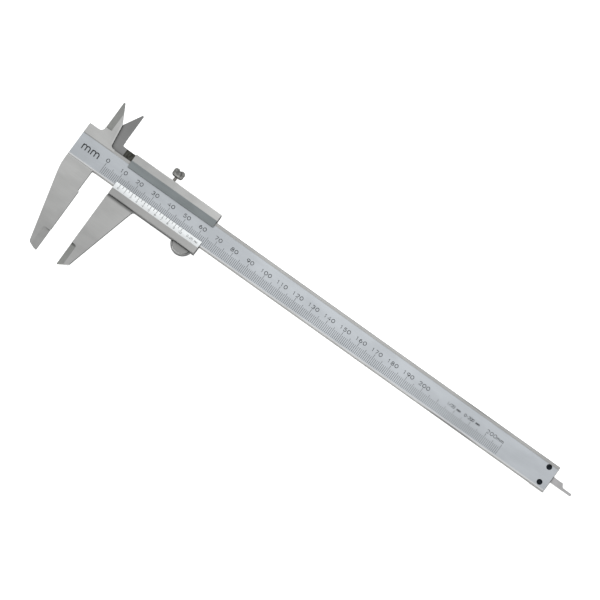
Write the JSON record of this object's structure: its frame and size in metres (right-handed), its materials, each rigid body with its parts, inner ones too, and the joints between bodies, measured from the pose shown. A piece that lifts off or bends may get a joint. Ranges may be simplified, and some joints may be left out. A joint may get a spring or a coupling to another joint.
{
  "type": "vernier caliper",
  "caption": "Vernier caliper with outside and inside jaws, a sliding vernier with lock screw and thumb rest, and a depth bar in the beam's back.",
  "frame": {"origin": "middle of the base of the whole box, on the surface the caliper lies on, at a reading of 12.7 mm", "axes": "+X along the beam towards the depth bar's tip, +Y across the beam towards the inside jaws, +Z out of the graduated face"},
  "size_m": [0.313, 0.0886, 0.007],
  "materials": {
    "ground_steel": "fine ground and satin",
    "bar_steel": "drawn and lightly brushed",
    "dark_steel": "nickel plated, darker satin",
    "black_oxide": "blackened steel",
    "mark_black": "matt black paint in the graduations and numbers",
    "bronze_leaf": "rolled bronze leaf"
  },
  "bodies": {
    "beam": {"main_beam": "ground_steel", "end_stop_plate": "ground_steel", "end_stop_screw_1": "black_oxide", "end_stop_screw_2": "black_oxide"},
    "slider": {"slider_body": "ground_steel", "gib_strip": "bronze_leaf", "gib_set_screw_1": "dark_steel", "gib_set_screw_2": "dark_steel", "depth_bar": "bar_steel", "depth_bar_rivet_1": "bar_steel", "depth_bar_rivet_2": "bar_steel"},
    "lock_stem": {"lock_screw_stem": "dark_steel"},
    "lock_head": {"lock_screw_head": "dark_steel"}
  },
  "joints": [
    {"name": "slider_travel", "type": "slide", "parent": "beam", "child": "slider", "axis": [1, 0, 0], "range_m": [-0.01269, 0.2073]},
    {"name": "lock_screw_advance", "type": "slide", "parent": "slider", "child": "lock_stem", "axis": [0, 1, 0], "range_m": [0, 0.0006]},
    {"name": "lock_screw_turn", "type": "hinge", "parent": "lock_stem", "child": "lock_head", "pos_m": [-0.104, 0.02814, 0.00375], "axis": [0, 1, 0], "range_deg": [0, 540.1]}
  ],
  "couplings": [
    {"joint": "lock_screw_turn", "follows": "lock_screw_advance", "rad_per_m": 15708}
  ]
}
